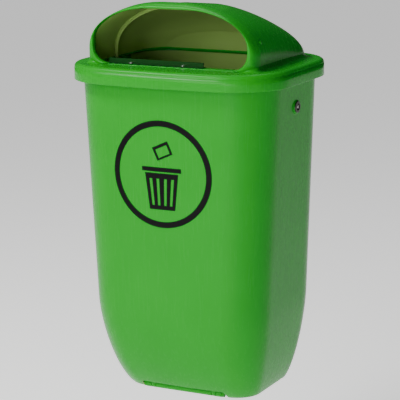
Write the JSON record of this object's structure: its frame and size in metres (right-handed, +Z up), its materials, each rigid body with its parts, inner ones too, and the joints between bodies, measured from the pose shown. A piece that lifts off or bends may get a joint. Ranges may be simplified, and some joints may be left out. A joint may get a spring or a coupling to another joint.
{
  "type": "street litter bin",
  "caption": "Wall or post hung plastic litter bin with rain hood, wide front opening, drop bottom and triangular-key lock.",
  "frame": {"origin": "under the middle of the bounding box, at the height of the bin's lowest edge", "axes": "+Z up, -Y towards the side with the opening, +X towards the side with the lock"},
  "size_m": [0.43, 0.366, 0.745],
  "materials": {
    "green_plastic": "satin, moulded polyethylene",
    "black_print": "satin print",
    "stainless": "satin",
    "zinc_steel": "zinc plated",
    "hot_dip_zinc": "hot-dip galvanised",
    "lock_zinc": "die cast, plated",
    "grey_nylon": "matt",
    "green_steel": "powder coated"
  },
  "bodies": {
    "bin": {"body": "green_plastic", "hood": "green_plastic", "hood_screws": "stainless", "pictogram": "black_print", "stub_plate": "green_steel", "stub_plate_rivets": "stainless", "flap_hinge_rod": "stainless", "hinge_rod_caps": "zinc_steel", "lock_housing": "lock_zinc", "lock_nut": "zinc_steel", "upper_rod_guide": "grey_nylon", "lower_rod_guide": "grey_nylon", "guide_screws": "stainless", "latch_bracket": "zinc_steel", "latch_bracket_screws": "stainless", "latch_pivot_pin": "stainless", "latch_spacer": "grey_nylon", "wall_bracket": "hot_dip_zinc", "inner_plate": "hot_dip_zinc", "bracket_bolts": "zinc_steel", "bracket_washers": "zinc_steel", "bracket_nuts": "zinc_steel"},
    "flap": {"bottom_flap": "green_plastic", "flap_striker": "stainless", "striker_rivets": "stainless"},
    "lock": {"lock_spindle": "lock_zinc", "lock_crank": "zinc_steel", "crank_pin": "stainless", "crank_screw": "zinc_steel"},
    "rod": {"release_rod": "stainless", "rod_fork": "zinc_steel", "rod_collar": "zinc_steel", "rod_spring": "stainless"},
    "latch": {"latch_lever": "zinc_steel"}
  },
  "joints": [
    {"name": "flap_hinge", "type": "hinge", "parent": "bin", "child": "flap", "pos_m": [0, -0.082, 0.0065], "axis": [-1, 0, 0], "range_deg": [0, 85]},
    {"name": "lock_turn", "type": "hinge", "parent": "bin", "child": "lock", "pos_m": [0.19, 0, 0.55], "axis": [-1, 0, 0], "range_deg": [0, 90]},
    {"name": "rod_slide", "type": "slide", "parent": "bin", "child": "rod", "axis": [0, 0, -1], "range_m": [0, 0.01414], "deforming": ["rod_spring"]},
    {"name": "latch_swing", "type": "hinge", "parent": "bin", "child": "latch", "pos_m": [0.112, 0.072, 0.06], "axis": [0, 1, 0], "range_deg": [0, 37.6]}
  ],
  "couplings": [
    {"joint": "lock_turn", "follows": "rod_slide", "rad_per_m": 111.07},
    {"joint": "latch_swing", "follows": "rod_slide", "rad_per_m": 46.278}
  ]
}
